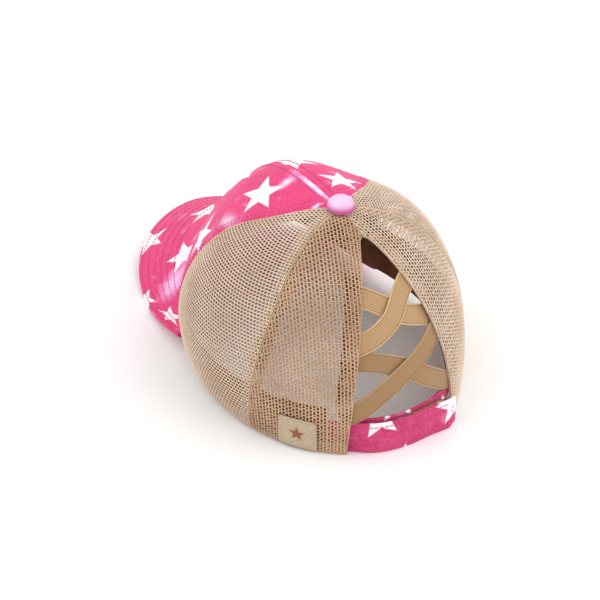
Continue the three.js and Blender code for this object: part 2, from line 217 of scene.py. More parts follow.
def make_object(name, points, faces, print_uv=None):
    """A mesh from points in millimetres in the crown's frame, moved to the row frame."""
    data = bpy.data.meshes.new(name)
    points = (np.asarray(points, float) + [0, CROWN_CENTRE_Y, 0]) * MM
    data.from_pydata(points.tolist(), [], [list(f) for f in faces])
    data.update()
    data.polygons.foreach_set("use_smooth", np.ones(len(data.polygons), bool))
    if print_uv is not None:
        layer = data.uv_layers.new(name="print")
        corners = np.zeros(len(data.loops), np.int32)
        data.loops.foreach_get("vertex_index", corners)
        layer.data.foreach_set("uv", np.asarray(print_uv, np.float32)[corners].ravel())
    made = bpy.data.objects.new(name, data)
    bpy.context.scene.collection.objects.link(made)
    return made


def grid_faces(columns, rows, first=0, flip=False):
    faces = []
    for i in range(columns - 1):
        for j in range(rows - 1):
            a = first + i * rows + j
            quad = (a, a + rows, a + rows + 1, a + 1)
            faces.append(quad[::-1] if flip else quad)
    return faces


def edge_loop(columns, rows):
    """The grid's border, once round."""
    bottom = [i * rows for i in range(columns)]
    right = [(columns - 1) * rows + j for j in range(1, rows)]
    top = [i * rows + rows - 1 for i in range(columns - 2, -1, -1)]
    left = list(range(rows - 2, 0, -1))
    return bottom + right + top + left


def shell(name, outer, inner, uv=None, bulge=0.3, lined=False):
    """A closed cloth wall between two grids of points, its edge rounded by a middle ring.

    A lined wall shows its second material on the inner face.
    """
    columns, rows = outer.shape[:2]
    count = columns * rows
    loop = edge_loop(columns, rows)
    flat_outer, flat_inner = outer.reshape(-1, 3), inner.reshape(-1, 3)
    middle = (flat_outer[loop] + flat_inner[loop]) / 2
    thickness = np.linalg.norm(flat_outer[loop] - flat_inner[loop], axis=1, keepdims=True)
    ahead, behind = np.roll(middle, -1, axis=0), np.roll(middle, 1, axis=0)
    away = unit(np.cross(ahead - behind, flat_outer[loop] - flat_inner[loop]))
    centre = flat_outer.mean(0)
    sign = np.sign(((middle - centre) * away).sum())
    middle = middle + away * thickness * bulge * sign
    points = np.concatenate([flat_outer, flat_inner, middle])
    faces = grid_faces(columns, rows) + grid_faces(columns, rows, count, flip=True)
    ring = 2 * count
    for k in range(len(loop)):
        n = (k + 1) % len(loop)
        faces.append((loop[n], loop[k], ring + k, ring + n))
        faces.append((ring + n, ring + k, count + loop[k], count + loop[n]))
    if uv is not None:
        flat = uv.reshape(-1, 2)
        uv = np.concatenate([flat, flat, flat[loop]])
    made = make_object(name, points, faces, uv)
    face_out(made)
    if lined:
        one_side = (columns - 1) * (rows - 1)
        made["lined_faces"] = [one_side, 2 * one_side]
    return made


def face_out(made):
    """Turns every face of a closed mesh outwards."""
    edit = bmesh.new()
    edit.from_mesh(made.data)
    bmesh.ops.recalc_face_normals(edit, faces=edit.faces)
    edit.to_mesh(made.data)
    edit.free()


def tube_parts(path, radius, sides=6):
    """Points and faces of a round cord along a path, with closed ends."""
    path = np.asarray(path, float)
    ahead = np.roll(path, -1, axis=0) - np.roll(path, 1, axis=0)
    ahead[0], ahead[-1] = path[1] - path[0], path[-1] - path[-2]
    ahead = unit(ahead)
    side = unit(np.cross(ahead, [0.13, 0.07, 1.0]))
    up = np.cross(side, ahead)
    turns = (np.arange(sides) * 2 * math.pi / sides)[None, :, None]
    rings = path[:, None] + radius * (np.cos(turns) * side[:, None] + np.sin(turns) * up[:, None])
    last = (len(path) - 1) * sides
    faces = [tuple(range(sides))[::-1], tuple(range(last, last + sides))]
    for a in range(0, last, sides):
        for k in range(sides):
            n = (k + 1) % sides
            faces.append((a + k, a + n, a + n + sides, a + k + sides))
    return rings.reshape(-1, 3), faces


def joined(parts):
    """One set of points and faces from several."""
    points, faces, first = [], [], 0
    for part_points, part_faces in parts:
        points.append(part_points)
        faces += [tuple(first + v for v in f) for f in part_faces]
        first += len(part_points)
    return np.concatenate(points), faces


# A stitch's bends, as shares of its length, and how far they stand off the cloth in radii
BENDS, BEND_LIFTS = np.array([0, 0.2, 0.5, 0.8, 1]), np.array([-0.9, 0.35, 0.7, 0.35, -0.9])


def stitches(path, normals, pitch=3.0, length=2.2, radius=0.24):
    """Short threads lying along a path, each dipping into the cloth at its ends."""
    path, normals = np.asarray(path, float), np.asarray(normals, float)
    lengths = travelled(path)
    parts = []
    for start in np.arange(pitch * 0.4, lengths[-1] - length, pitch):
        wanted = start + length * BENDS
        points = np.stack([np.interp(wanted, lengths, path[:, k]) for k in range(3)], -1)
        normal = np.stack([np.interp(wanted, lengths, normals[:, k]) for k in range(3)], -1)
        lift = unit(normal) * (radius * BEND_LIFTS)[:, None]
        parts.append(tube_parts(points + lift, radius, 5))
    return parts


def both_sides(runs):
    """The same paths and normals on the wearer's left and right."""
    return [(path * [side, 1, 1], normals * [side, 1, 1]) for side in (1, -1) for path, normals in runs]


def stitch_object(name, runs, **sizes):
    parts = []
    for path, normals in runs:
        parts += stitches(path, normals, **sizes)
    points, faces = joined(parts)
    return make_object(name, points, faces)


# The knitted net, a lattice of six-sided cells with a rounded hole in each. The hole and the
# lip round it are shares of the cell, across and up.
CELL_ACROSS, CELL_UP = 2.0, 2.3
ZIGZAG = 0.10
HOLE_SHARE = np.array([0.60, 0.74])
LIP_SHARE = np.array([0.72, 0.86])
YARN, LIP_YARN, UNEVENNESS = 0.27, 0.189, 0.05
SEAM_HEM, FRONT_HEM, OPENING_HEM, RIM_HEM = 5.5, 6.0, 8.0, 8.0
NET_DEPTH, HEM_DEPTH, HEM_SHIFT = 0.3, 1.05, (0.7, 0.9)
NET_REACH = 170
FAR, NEAR = 0.5 + ZIGZAG, 0.5 - ZIGZAG
HEXAGON = np.array([(FAR, 0), (NEAR, 0.5), (-NEAR, 0.5), (-FAR, 0), (-NEAR, -0.5), (NEAR, -0.5)])


class NetPanel:
    """Maps flat cloth, across and up in millimetres, to one net panel of the crown.

    The cloth's upright threads follow guide, a curve up the crown given as an angle for each height.
    """

    def __init__(self, low_edge, high_edge, guide):
        self.low_edge, self.high_edge, self.guide = low_edge, high_edge, guide
        self.middle = float(guide(np.array(0.0)))
        self.heights, self.lengths = meridian_table(self.middle)

    def height(self, up):
        return np.interp(up, self.lengths, self.heights)

    def share(self, height):
        return np.maximum(reach(self.middle, height), 0.02)

    def clearances(self, across, up):
        """Distances from both side edges, positive inside."""
        height = self.height(up)
        here = rim_length(self.guide(height)) + across / self.share(height)
        low = (here - rim_length(self.low_edge(height))) * self.share(height)
        high = (rim_length(self.high_edge(height)) - here) * self.share(height)
        return low, high

    def place(self, across, up, depth):
        height = self.height(np.clip(up, 0, self.lengths[-1]))
        angle = rim_angle(rim_length(self.guide(height)) + across / self.share(height))
        angle = np.clip(angle, self.low_edge(height), self.high_edge(height))
        return on_crown(angle, height, -depth)


def on_cloth(points, turned):
    """Across and up the cloth, swapped where the lattice's columns lie along the rim."""
    return (points[..., 1], points[..., 0]) if turned else (points[..., 0], points[..., 1])


def net_cells(panel, keep, turned, shift):
    """The middles of the cells that belong to a layer, on the lattice's own sheet."""
    most_across, most_up = int(NET_REACH / CELL_ACROSS), int(NET_REACH / CELL_UP)
    columns, rows = np.arange(-most_across, most_across + 1), np.arange(-most_up, most_up + 1)
    column, row = np.meshgrid(columns, rows, indexing="ij")
    staggered = row + 0.5 * (column % 2)
    centres = np.stack([column * CELL_ACROSS, staggered * CELL_UP], -1).reshape(-1, 2) + shift
    across, up = on_cloth(centres, turned)
    low, high = panel.clearances(across, np.clip(up, 0, panel.lengths[-1]))
    inside = (up > -0.1) & (up < panel.lengths[-1] + 0.5) & (low > -0.3) & (high > -0.3)
    return centres[inside & keep(low, high, up)]


def net_corners(centres, shift):
    """The corners that the cells share, a little uneven, and the numbers of each cell's six."""
    size = np.array([CELL_ACROSS, CELL_UP])
    corners = centres[:, None] + HEXAGON * size
    cell = ((corners - shift) / size).reshape(-1, 2)
    keys = np.stack([np.floor(cell[:, 0]), np.round(cell[:, 1] * 2)], -1)
    first, index = np.unique(keys, axis=0, return_index=True, return_inverse=True)[1:]
    shared = corners.reshape(-1, 2)[first]
    return shared + rng.normal(0, UNEVENNESS, shared.shape), index.reshape(-1, 6)


def net_layer(panel, depth, keep, turned=False, shift=(0.0, 0.0)):
    """One layer of net. keep says which cells belong, turned lays its columns along the rim."""
    shared, index = net_corners(net_cells(panel, keep, turned, shift), shift)
    middle = shared[index].mean(1, keepdims=True)
    spokes = shared[index] - middle
    lips = on_cloth((middle + spokes * LIP_SHARE).reshape(-1, 2), turned)
    holes = on_cloth((middle + spokes * HOLE_SHARE).reshape(-1, 2), turned)
    shared = on_cloth(shared, turned)
    points = np.concatenate([
        panel.place(*shared, depth - YARN),
        panel.place(*shared, depth + YARN),
        panel.place(*lips, depth - LIP_YARN),
        panel.place(*lips, depth + LIP_YARN),
        panel.place(*holes, depth),
    ])
    count = len(shared[0])
    lip_top = 2 * count + np.arange(index.size).reshape(-1, 6)
    lip_low = lip_top + index.size
    rim = lip_low + index.size
    after = np.roll(np.arange(6), -1)
    quads = [
        (index, index[:, after], lip_top[:, after], lip_top),
        (lip_top, lip_top[:, after], rim[:, after], rim),
        (rim, rim[:, after], lip_low[:, after], lip_low),
        (lip_low, lip_low[:, after], index[:, after] + count, index + count),
    ]
    faces = np.concatenate([np.stack(q, -1).reshape(-1, 4) for q in quads])
    return points, (faces if turned else faces[:, ::-1]).tolist()


def net_piece(name, low_edge, high_edge, middle, hems, turned, side, inlay=False):
    """A net panel: one whole layer, a second one in its hems, and rolled edges.

    hems are the widths of the second layer along the low and the high edge.
    """
    cloth = NetPanel(low_edge, high_edge, lambda h: middle + 0 * h)
    inset = (CELL_ACROSS / 2, 0.0)
    low_cloth = NetPanel(low_edge, high_edge, low_edge)
    high_cloth = NetPanel(low_edge, high_edge, high_edge)
    parts = [
        net_layer(cloth, NET_DEPTH, lambda low, high, up: np.ones(up.shape, bool), turned),
        net_layer(cloth, HEM_DEPTH, lambda low, high, up: up < RIM_HEM, turned, HEM_SHIFT),
        net_layer(low_cloth, HEM_DEPTH, lambda low, high, up: low < hems[0], False, inset),
        net_layer(high_cloth, HEM_DEPTH, lambda low, high, up: high < hems[1], False, inset),
    ]
    if inlay:
        parts += inlaid_threads(cloth)
    points, faces = joined(parts + edge_rolls(cloth))
    if side < 0:
        points = points * [-1, 1, 1]
        faces = [f[::-1] for f in faces]
    return make_object(name, points, faces)


INLAY_PITCH, INLAY_RADIUS, INLAY_END = 4.6, 0.24, 14
ROLL_RADIUS, ROLL_DEPTH, RIM_ROLL_DEPTH = 0.34, 0.45, 0.65


def inlaid_threads(panel):
    """Heavier threads that run through the net level with the rim."""
    threads = []
    for up in np.arange(RIM_HEM, panel.lengths[-1] - INLAY_END, INLAY_PITCH):
        height = panel.height(up)
        angle = np.linspace(panel.low_edge(height), panel.high_edge(height), 44)[1:-1]
        threads.append(tube_parts(on_crown(angle, height, -0.1), INLAY_RADIUS, 5))
    return threads


def edge_rolls(panel):
    """The folded edges of the net, thin rolls round the panel's border."""
    heights = np.interp(np.linspace(0, 1, 90) * panel.lengths[-1], panel.lengths, panel.heights)
    rolls = []
    for edge, side in ((panel.low_edge, 1), (panel.high_edge, -1)):
        inset = side * ROLL_RADIUS / (RIM_MEAN * np.maximum(reach(panel.middle, heights), 0.05))
        rolls.append(tube_parts(on_crown(edge(heights) + inset, heights, -ROLL_DEPTH), ROLL_RADIUS))
    low, high = panel.low_edge(np.array(0.0)), panel.high_edge(np.array(0.0))
    rim = on_crown(np.linspace(low, high, 50), np.zeros(50), -RIM_ROLL_DEPTH)
    rim[:, 2] += ROLL_RADIUS
    rolls.append(tube_parts(rim, ROLL_RADIUS))
    return rolls


def side_net(name, side):
    """The side panel, its threads laid along the rim."""
    return net_piece(
        name,
        lambda h: back_side_seam(h) + HALF_SEAM,
        lambda h: side_front_seam(h) - HALF_SEAM,
        (SEAM_BACK_SIDE + SEAM_SIDE_FRONT) / 2,
        (SEAM_HEM, FRONT_HEM), True, side,
    )


BACK_GRAIN = 17 * DEG


def back_net(name, side):
    """The panel beside the open back, its threads upright, with heavier ones along the rim."""
    return net_piece(
        name,
        lambda h: np.maximum(opening_angle(h), HALF_SEAM),
        lambda h: back_side_seam(h) - HALF_SEAM,
        BACK_GRAIN,
        (OPENING_HEM, SEAM_HEM), False, side, inlay=True,
    )


TAPE_WIDTH, TAPE_DEPTH, TAPE_THICKNESS = 9.0, 2.3, 0.5


def seam_tape(name, seam, side, first=0.28, last=0.96, offset=0.0):
    """A flat tape inside the crown along one seam, or offset from an edge, up to near the top."""
    columns, rows = 90, 7
    heights, lengths = meridian_table(seam(np.array(0.0)))
    wanted = np.linspace(first, last, columns) * lengths[-1]
    height = np.interp(wanted, lengths, heights)
    share = np.maximum(reach(seam(0.0), height), 0.06)
    width = TAPE_WIDTH * smooth(lengths[-1] - wanted, -4, 22)
    across = (np.linspace(-0.5, 0.5, rows)[None] + offset) * width[:, None]
    angle = rim_angle(rim_length(seam(height))[:, None] + across / share[:, None])
    outer = on_crown(angle, height[:, None], -TAPE_DEPTH)
    inner = on_crown(angle, height[:, None], -TAPE_DEPTH - TAPE_THICKNESS)
    return shell(name, outer * [side, 1, 1], inner * [side, 1, 1], bulge=0.2)


# Print charts: a star's place across and up its cloth, its radius and its turn

LEFT_STARS = [
    (26.6, 100.2, 15.2, 70), (58.5, 58.1, 15.3, 24), (12, 59, 15.0, 69),
    (30, 20, 15.0, 10), (72, 18, 15.0, 40),
]
RIGHT_STARS = [
    (-18.8, 121.6, 14.5, 35), (-5.9, 87.1, 15.0, 71), (-50, 64, 15.0, 12),
    (-22, 42, 15.0, 50), (-66, 20, 15.0, 30),
]
VISOR_STARS = [
    (9.1, 24.0, 14.3, 59), (44.6, 45.3, 13.8, 47), (46.0, -3.4, 14.5, 54), (96.4, 1.5, 14.3, 25),
    (97.5, -34.1, 15.5, 5), (-28, 45, 14.5, 20), (-34, 4, 14.5, 60), (-68, 26, 14.5, 35),
    (-80, -14, 14.5, 10), (-112, -30, 14.5, 55),
]
OUTER_STRAP_STARS = [(28.2, 24.1, 14.4, 26), (77.7, 16.6, 13.9, 24), (44, -12, 14.6, 18)]
INNER_STRAP_STARS = [(23, 30, 14.4, 18), (62, 4, 14.4, 40)]

# Pale patches: a patch's place across and up its cloth, its width, its height and its strength

LEFT_WASHES = [
    (2.0, 125, 3.4, 30, 1.0), (12, 108, 9, 4.5, 0.9), (12, 146, 7, 3.5, 1.0),
    (50, 88, 8, 14, 0.55), (40, 30, 14, 10, 0.6),
]
RIGHT_WASHES = [(-45, 30, 14, 10, 0.6), (-40, 95, 10, 8, 0.4)]
VISOR_WASHES = [(66, -14, 23, 13, 1.0), (30, -1, 8, 5, 0.6), (-50, 10, 12, 9, 0.6)]

TWILL = 1.5
MIDDLE_DIP, MIDDLE_DIP_WIDTH, SIDE_DIP, SIDE_DIP_WIDTH = 0.35, 0.9, 0.3, 0.8
FOLD_RISE, FOLD_WIDTH, FOLD_EDGE = 0.25, 4.2, 1.2


def front_panel(name, side):
    """Half of the printed front, its cloth coordinates measured from the middle seam."""
    columns, rows = 64, 72
    angles = np.linspace(SEAM_SIDE_FRONT, math.pi, columns)
    heights, along = [], []
    for angle in angles:
        table, lengths = meridian_table(angle)
        wanted = np.linspace(0, 1, rows) * lengths[-1]
        heights.append(np.interp(wanted, lengths, table))
        along.append(wanted)
    heights, along = np.array(heights), np.array(along)
    share = np.linspace(0, 1, columns)[:, None]
    seam = side_front_seam(heights) + HALF_SEAM
    angle = seam + (math.pi - HALF_SEAM - seam) * share
    even = on_crown(angle, heights, 0.0)
    from_side, from_middle = travelled(even), travelled(even[::-1])[::-1]
    # The cloth dips at both seams and stands up over the allowance folded beside the middle one.
    lift = FOLD_RISE * smooth(FOLD_WIDTH - from_middle, 0, FOLD_EDGE)
    lift -= MIDDLE_DIP * ridge(from_middle, MIDDLE_DIP_WIDTH)
    lift -= SIDE_DIP * ridge(from_side, SIDE_DIP_WIDTH)
    outer = on_crown(angle, heights, lift) * [side, 1, 1]
    inner = on_crown(angle, heights, -TWILL) * [side, 1, 1]
    return shell(name, outer, inner, np.stack([from_middle * side, along], -1), lined=True)


def visor_top(across, out):
    """The visor's top face: across from -1 to 1 between its ends, out from 0 at the crown to 1."""
    angle = math.pi - across * (math.pi - SEAM_SIDE_FRONT)
    x, y = rim_plan(angle)
    length = np.hypot(x, y)
    fullness = 1 - np.abs(across) ** VISOR_SQUARENESS
    widest = rim_plan(SEAM_SIDE_FRONT)[0]
    tucked = 1 - VISOR_TUCK / length
    inner = np.stack([x * tucked, y * tucked, rim_height(angle) - 0.3], -1)
    edge_x = x + VISOR_FLARE * across * np.sqrt(fullness)
    edge_y = y - VISOR_LENGTH * fullness - VISOR_END_WIDTH
    middle = RISE_TO_FRONT + RISE_ARCH - VISOR_DROP
    sagged = middle - VISOR_SAG * (np.abs(edge_x) / widest) ** VISOR_SAG_POWER
    blend = np.minimum(1, fullness * 1.6)
    edge = np.stack([edge_x, edge_y, inner[..., 2] * (1 - blend) + sagged * blend], -1)
    return inner + (edge - inner) * out[..., None]


# Each row of stitches by its distance from the visor's edge
VISOR_ROWS = [3.5 + 7.5 * k for k in range(6)]
GROOVE_WIDTH, GROOVE_DEPTH, GROOVE_DEPTH_BELOW = 0.7, 0.22, 0.15
GROOVE_CLEAR, STITCH_CLEAR = 8.5, 8
VISOR_CHART_TILT = 28 * DEG


def visor():
    """The visor's cloth, grooved along its rows of stitches, and the paths of those rows."""
    columns, rows = 150, 60
    across = np.sin((np.linspace(0, 1, columns) - 0.5) * math.pi)
    across, out = np.meshgrid(across, np.linspace(0, 1, rows), indexing="ij")
    top = visor_top(across, out)
    forward = visor_top(across, np.ones_like(out)) - visor_top(across, np.zeros_like(out))
    normal = unit(np.cross(np.gradient(top, axis=0), forward))
    normal *= np.sign(normal[..., 2:3])
    length = np.linalg.norm(forward, axis=-1)
    from_edge = (1 - out) * length
    groove = np.zeros_like(out)
    for distance in VISOR_ROWS:
        groove += ridge(from_edge - distance, GROOVE_WIDTH) * (length > distance + GROOVE_CLEAR)
    face = top - normal * groove[..., None] * GROOVE_DEPTH
    under = top - normal * (VISOR_THICKNESS - groove[..., None] * GROOVE_DEPTH_BELOW)
    under[..., 2] = np.maximum(under[..., 2], 0)
    middle = columns // 2
    spread = travelled(top)
    spread -= (spread[middle - 1] + spread[middle]) / 2
    ahead = -(top[..., 1] - top[middle, 0, 1]) / math.cos(VISOR_CHART_TILT)
    made = shell("visor_cloth", face, under, np.stack([spread, ahead], -1), bulge=0.42)
    runs = []
    for distance in VISOR_ROWS:
        column = np.where(length[:, 0] > distance + STITCH_CLEAR)[0]
        path = visor_top(across[column, 0], 1 - distance / length[column, 0])
        runs.append((path, normal[column, rows // 2]))
    return made, runs


def smooth_column(table, key, share):
    """A smooth curve through one column of a table, as a uniform Catmull-Rom spline."""
    values = np.array([row[key] for row in table], float)
    points = np.concatenate([[2 * values[0] - values[1]], values, [2 * values[-1] - values[-2]]])
    place = np.clip(np.asarray(share, float), 0, 1) * (len(values) - 1)
    i = np.minimum(place.astype(int), len(values) - 2)
    t = place - i
    a, b, c, d = points[i], points[i + 1], points[i + 2], points[i + 3]
    square, cube = 2 * a - 5 * b + 4 * c - d, 3 * b - a - 3 * c + d
    return 0.5 * (2 * b + (c - a) * t + square * t ** 2 + cube * t ** 3)


# Elastics: angle and height angle in degrees, depth in millimetres, as the part has them
BAND_LENGTH, BAND_WIDTH, BAND_THICKNESS, BAND_RIBS = 70, 11.5, 1.2, 9
RIB_RISE, SELVEDGE_RISE, SELVEDGE_PLACE, SELVEDGE_WIDTH = 0.07, 0.25, 0.46, 0.035
BANDS = {
    "elastic_upper_inner": [
        (17.5, 51.5, 1.7), (13, 50.2, 1.9), (5.4, 47.0, 3.4), (-3, 42.0, 3.9),
        (-12, 38.4, 3.6), (-17, 36.6, 3.3), (-20.5, 35.6, 3.1),
    ],
    "elastic_upper_outer": [
        (-17.5, 51.8, 1.7), (-11, 49.8, 1.8), (-5.4, 46.5, 2.1), (1.2, 41.0, 2.1),
        (9, 37.1, 1.8), (16, 34.8, 1.7), (20.5, 34.0, 1.7),
    ],
    "elastic_lower_inner": [
        (21.5, 29.8, 3.1), (17, 29.4, 3.2), (8, 27.4, 3.8), (-1.5, 23.5, 3.9),
        (-11, 17.3, 2.8), (-18, 13.2, 1.8), (-24, 11.2, 1.7),
    ],
    "elastic_lower_outer": [
        (-21.5, 32.0, 1.7), (-15.5, 29.8, 1.8), (-8.8, 26.5, 2.1), (1, 22.4, 2.2),
        (9.3, 18.3, 2.0), (17, 13.8, 1.8), (23.5, 11.4, 1.7),
    ],
}


def elastic(node, table):
    """A ribbed elastic with rolled edges, laid along its table's curve."""
    stations = 90
    share = np.linspace(0, 1, stations)
    angle = smooth_column(table, 0, share) * DEG
    height = smooth_column(table, 1, share) * DEG
    depth = smooth_column(table, 2, share)
    path = on_crown(angle, height, -depth)
    normal = crown_normal(angle, height)
    ahead = unit(np.gradient(path, axis=0))
    across = unit(np.cross(normal, ahead))
    points_across = BAND_RIBS * 6 + 1
    place = np.linspace(-0.5, 0.5, points_across)
    rib = RIB_RISE * np.cos(place * BAND_RIBS * 2 * math.pi)
    roll = SELVEDGE_RISE * ridge(np.abs(place) - SELVEDGE_PLACE, SELVEDGE_WIDTH)
    fade = smooth(0.5 - np.abs(place), 0, 0.03)
    rise = (rib * fade + roll)[None, :, None]
    base = path[:, None] + across[:, None] * (place * BAND_WIDTH)[None, :, None]
    face = base + normal[:, None] * (rise - 0.16)
    back = base - normal[:, None] * (BAND_THICKNESS + rise - 0.2)
    uv = np.stack(np.broadcast_arrays(share[:, None] * BAND_LENGTH, place[None] * BAND_WIDTH), -1)
    return shell(node + "_ribbed", face, back, uv)


# Straps: angle in degrees and distance outside the rim in millimetres, as the part has them
STRAP_HEIGHT, STRAP_THICKNESS = 20, 2
OUTER_STRAP = [
    (27, -3.2), (20, -3.0), (15, -1.2), (10, -0.2), (3, 0),
    (-4, 0.3), (-8, 1.0), (-12, 3.0), (-15, 5.2), (-17.5, 6.6),
]
INNER_STRAP = [
    (17, -5.6), (12, -4.6), (6, -4.0), (0, -3.8), (-6, -3.6),
    (-10, -3.1), (-16, -2.8), (-21, -3.3), (-27, -3.5),
]
INNER_STRAP_HEIGHT, INNER_STRAP_THICKNESS, INNER_STRAP_BOTTOM = 20.5, 1.8, 0.5
TAB_CHAMFER = 4.0
STRAP_STITCH_INSET, TAB_STITCH_INSET = 2.0, 2.6
STRAP_GROOVE, STRAP_GROOVE_WIDTH, STRAP_PUFF, STRAP_PUFF_EDGE = 0.22, 0.5, 0.12, 2.5


def strap_plan(table, share, extra):
    angle = smooth_column(table, 0, share) * DEG
    stand = smooth_column(table, 1, share) + extra
    x, y = rim_plan(angle)
    length = np.hypot(x, y)
    return np.stack([x * (1 + stand / length), y * (1 + stand / length)], -1)


def strap(name, table, thickness, bottom, height, chamfer):
    """An upright strap, its end chamfered below, and the paths of its stitches."""
    columns, rows = 110, 34
    share = np.linspace(0, 1, columns)
    face_plan = strap_plan(table, share, 0.0)
    inward = unit(strap_plan(table, share, -thickness) - face_plan)
    along = travelled(face_plan)
    cut = chamfer * np.clip(1 - (along[-1] - along) / max(chamfer, 1e-6), 0, 1)[:, None]
    level = bottom + cut + (height - cut) * np.linspace(0, 1, rows)[None]
    edge = np.minimum(level - bottom, bottom + height - level)
    groove = STRAP_GROOVE * ridge(edge - STRAP_STITCH_INSET, STRAP_GROOVE_WIDTH)
    hollow = STRAP_PUFF * (1 - smooth(edge, 0, STRAP_PUFF_EDGE))

    def wall(push):
        plan = face_plan[:, None] + inward[:, None] * push[..., None]
        return np.concatenate([plan, level[..., None]], -1)

    uv = np.stack([np.broadcast_to(along[:, None], level.shape), level - bottom], -1)
    made = shell(name, wall(groove + hollow), wall(thickness - groove), uv, bulge=0.35)
    outward = np.concatenate([-inward, np.zeros((columns, 1))], 1)
    return made, strap_runs(face_plan, outward, along, bottom, height)


def strap_runs(plan, outward, along, bottom, height):
    """Stitches along both long edges and across the tab's end."""
    runs = []
    clear = along < along[-1] - 3.0
    for z in (bottom + STRAP_STITCH_INSET, bottom + height - STRAP_STITCH_INSET):
        path = np.concatenate([plan, np.full((len(plan), 1), z)], 1)
        runs.append((path[clear], outward[clear]))
    end = np.interp(along[-1] - TAB_STITCH_INSET, along, np.arange(len(plan)))
    foot = [np.interp(end, np.arange(len(plan)), plan[:, k]) for k in range(2)]
    levels = np.linspace(bottom + 3.5, bottom + height - STRAP_STITCH_INSET, 20)
    path = np.concatenate([np.tile(foot, (20, 1)), levels[:, None]], 1)
    runs.append((path, np.tile(outward[int(end)], (20, 1))))
    return runs


FASTENER_FROM, FASTENER_TO = 5, -16
FASTENER_BOTTOM, FASTENER_TOP, FASTENER_MOST = 1.5, 19.4, 2.2
FASTENER_GAP, HOOK_FUZZ = 0.3, 0.06


def fastener():
    """The hook-and-loop strip between the straps, a little rough on both faces."""
    columns, rows = 60, 24
    share = np.linspace(0, 1, 400)
    angle = np.linspace(FASTENER_FROM, FASTENER_TO, columns)

    def stand(table):
        return np.interp(-angle, -smooth_column(table, 0, share), smooth_column(table, 1, share))

    outer = stand(OUTER_STRAP) - STRAP_THICKNESS - FASTENER_GAP
    inner = np.maximum(stand(INNER_STRAP) + FASTENER_GAP, outer - FASTENER_MOST)
    x, y = rim_plan(angle * DEG)
    length = np.hypot(x, y)[:, None]
    level = np.broadcast_to(np.linspace(FASTENER_BOTTOM, FASTENER_TOP, rows), (columns, rows))
    faces = []
    for side in (outer, inner):
        grown = 1 + (side[:, None] + rng.normal(0, HOOK_FUZZ, (columns, rows))) / length
        faces.append(np.stack([x[:, None] * grown, y[:, None] * grown, level], -1))
    return shell("strap_fastener_tape", faces[0], faces[1], bulge=0.1)


SWEATBAND_END, SWEATBAND_HEIGHT = 29 * DEG, 30
SWEATBAND_OUTSIDE, SWEATBAND_INSIDE = 2.1, 3.5


def sweatband():
    """The tape inside the crown's foot, slightly wavy along its upper part."""
    columns, rows = 220, 16
    turn = np.linspace(SWEATBAND_END, 2 * math.pi - SWEATBAND_END, columns)
    angle = np.where(turn > math.pi, turn - 2 * math.pi, turn)[:, None]
    share = np.linspace(0, 1, rows)[None]
    height = height_above_rim(angle, SWEATBAND_HEIGHT * share)
    wave = 0.12 * np.sin(np.linspace(0, 90, columns))[:, None] * smooth(share, 0, 1)
    outer = on_crown(angle, height, -SWEATBAND_OUTSIDE)
    inner = on_crown(angle, height, -SWEATBAND_INSIDE - wave)
    return shell("sweatband_tape", outer, inner)


LABEL_FROM, LABEL_TO, LABEL_BOTTOM, LABEL_HEIGHT = 31.6 * DEG, 45.4 * DEG, 1.4, 20
LABEL_WIDTH = rim_length(LABEL_TO) - rim_length(LABEL_FROM)
LABEL_CORNER, LABEL_STITCH_INSET = 2.6, 1.3
LABEL_FACE, LABEL_BACK, LABEL_GROOVE, LABEL_GROOVE_WIDTH = 1.25, 0.3, 0.2, 0.35


def label():
    """The label with its rounded corners, and the paths of the stitches round it."""
    columns, rows = 60, 60
    across = np.linspace(0, LABEL_WIDTH, columns)
    to_end = np.minimum(across, LABEL_WIDTH - across)
    short = np.maximum(LABEL_CORNER - to_end, 0)
    trim = (LABEL_CORNER - np.sqrt(np.maximum(LABEL_CORNER ** 2 - short ** 2, 0)))[:, None]
    rise = trim * 0.4 + (LABEL_HEIGHT - 1.4 * trim) * np.linspace(0, 1, rows)[None]
    angle = rim_angle(rim_length(LABEL_FROM) + across)[:, None]
    height = height_above_rim(angle, LABEL_BOTTOM + rise)
    edge = np.minimum(to_end[:, None], np.minimum(rise, LABEL_HEIGHT - rise))
    groove = LABEL_GROOVE * ridge(edge - LABEL_STITCH_INSET, LABEL_GROOVE_WIDTH)
    outer = on_crown(angle, height, LABEL_FACE - groove)
    inner = on_crown(angle, height, LABEL_BACK)
    uv = np.stack(np.broadcast_arrays(across[:, None] - LABEL_WIDTH / 2, rise - LABEL_HEIGHT / 2), -1)
    return shell("label_cloth_patch", outer, inner, uv), label_runs()


def label_runs():
    right, top = LABEL_WIDTH - LABEL_STITCH_INSET, LABEL_HEIGHT - LABEL_STITCH_INSET
    left = bottom = LABEL_STITCH_INSET
    corners = [(left, bottom), (right, bottom), (right, top), (left, top), (left, bottom)]
    share = np.linspace(0.04, 0.96, 24)
    runs = []
    for (x0, y0), (x1, y1) in zip(corners, corners[1:]):
        angle = rim_angle(rim_length(LABEL_FROM) + x0 + (x1 - x0) * share)
        height = height_above_rim(angle, LABEL_BOTTOM + y0 + (y1 - y0) * share)
        runs.append((on_crown(angle, height, 1.1), crown_normal(angle, height)))
    return runs


BUTTON_RADIUS, BUTTON_RISE, BUTTON_LIFT, BUTTON_FOLDS = 8.0, 6.2, 1.1, 18
# Radius and level of each ring under the dome, from the foot of the stem to the dome's edge
BUTTON_FOOT = [(5.5, -2.9), (5.5, -1.9), (1.8, -1.9), (1.8, 0.35), (7.6, 0.35)]


